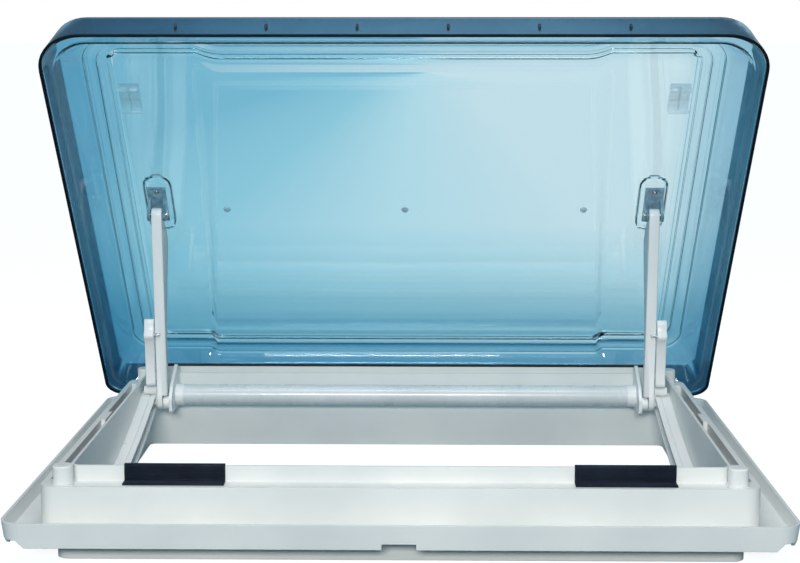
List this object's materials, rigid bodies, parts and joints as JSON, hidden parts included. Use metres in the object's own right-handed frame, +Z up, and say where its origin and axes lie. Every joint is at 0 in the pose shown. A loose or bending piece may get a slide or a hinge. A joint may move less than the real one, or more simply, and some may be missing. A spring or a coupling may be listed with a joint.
{
  "type": "deck hatch",
  "caption": "Framed roof and deck hatch: white moulded frame, tinted double-walled dome lid on a rear hinge, and a U-shaped stay whose feet slide in side rails.",
  "frame": {"origin": "centre of the roof cut-out, on the roof's outer surface, under the frame's flange", "axes": "+X across the hatch to the right seen from its free edge, +Y towards the hinge, +Z up and out of the roof"},
  "size_m": [0.8, 0.6392, 0.5495],
  "materials": {
    "frame_white": "white moulded ABS, satin gloss",
    "rail_white": "white moulded plastic, smooth",
    "roof_seal": "dark closed-cell seal",
    "channel_rubber": "dark rubber profile, matte",
    "seal_black": "black rubber, matte",
    "pad_rubber": "black soft rubber, matte",
    "dome_acrylic": "tinted clear acrylic, polished",
    "pane_acrylic": "lightly tinted clear acrylic, polished",
    "spacer_dark": "dark plastic spacers",
    "clip_clear": "clear moulded plastic",
    "plug_clear": "translucent moulded plastic",
    "stay_white": "white moulded plastic, satin gloss",
    "lever_white": "white moulded plastic, satin gloss",
    "tube_white": "aluminium tube with a white powder coat",
    "slider_white": "white sliding plastic, matte",
    "hinge_metal": "anodised aluminium",
    "pin_steel": "drawn steel pin",
    "screw_steel": "steel screws"
  },
  "bodies": {
    "base": {"base_frame": "frame_white", "roof_seal": "roof_seal", "channel_seal_left": "channel_rubber", "channel_seal_right": "channel_rubber", "rear_seal": "seal_black", "corner_cap_front_left": "frame_white", "corner_cap_front_right": "frame_white", "corner_cap_rear_left": "frame_white", "corner_cap_rear_right": "frame_white", "pad_left": "pad_rubber", "pad_right": "pad_rubber", "rail_left": "rail_white", "rail_right": "rail_white", "rail_screws": "screw_steel", "hinge_base_leaf": "hinge_metal", "hinge_screws": "screw_steel", "hinge_pin": "pin_steel"},
    "lid": {"hinge_lid_leaf": "hinge_metal", "rim_trim": "seal_black", "outer_dome": "dome_acrylic", "inner_pane": "pane_acrylic", "dome_spacers": "spacer_dark", "vent_plugs": "plug_clear", "clip_left": "clip_clear", "clip_right": "clip_clear", "bracket_left": "stay_white", "bracket_right": "stay_white", "bracket_screws": "screw_steel", "pivot_pin_left": "pin_steel", "pivot_pin_right": "pin_steel"},
    "arms": {"arm_left": "stay_white", "arm_right": "stay_white", "lever_pin_left": "pin_steel", "lever_pin_right": "pin_steel"},
    "lever_left": {"lever_left": "lever_white"},
    "lever_right": {"lever_right": "lever_white"},
    "bow": {"bow_plate_left": "stay_white", "bow_plate_right": "stay_white", "crossbar": "tube_white", "bar_cap_left": "stay_white", "bar_cap_right": "stay_white", "bow_screws": "screw_steel", "slider_left": "slider_white", "slider_right": "slider_white"}
  },
  "joints": [
    {"name": "lid_hinge", "type": "hinge", "parent": "base", "child": "lid", "pos_m": [0, 0.2995, 0.021], "axis": [1, 0, 0], "range_deg": [0, 52.2]},
    {"name": "stay_pivot", "type": "hinge", "parent": "lid", "child": "arms", "pos_m": [0, 0.15693, 0.28312], "axis": [1, 0, 0], "range_deg": [-128, 0]},
    {"name": "foot_pivot", "type": "hinge", "parent": "arms", "child": "bow", "pos_m": [0, 0.173, 0.044], "axis": [1, 0, 0], "range_deg": [0, 76]},
    {"name": "lever_left_press", "type": "hinge", "parent": "arms", "child": "lever_left", "pos_m": [-0.318, 0.15851, 0.13289], "axis": [1, 0, 0], "range_deg": [-8, 0], "stiffness_Nm_per_rad": 0.5},
    {"name": "lever_right_press", "type": "hinge", "parent": "arms", "child": "lever_right", "pos_m": [0.318, 0.15851, 0.13289], "axis": [1, 0, 0], "range_deg": [-8, 0], "stiffness_Nm_per_rad": 0.5}
  ],
  "couplings": [
    {"joint": "stay_pivot", "follows": "lid_hinge", "ratio": -2.45},
    {"joint": "foot_pivot", "follows": "lid_hinge", "ratio": 1.45}
  ]
}
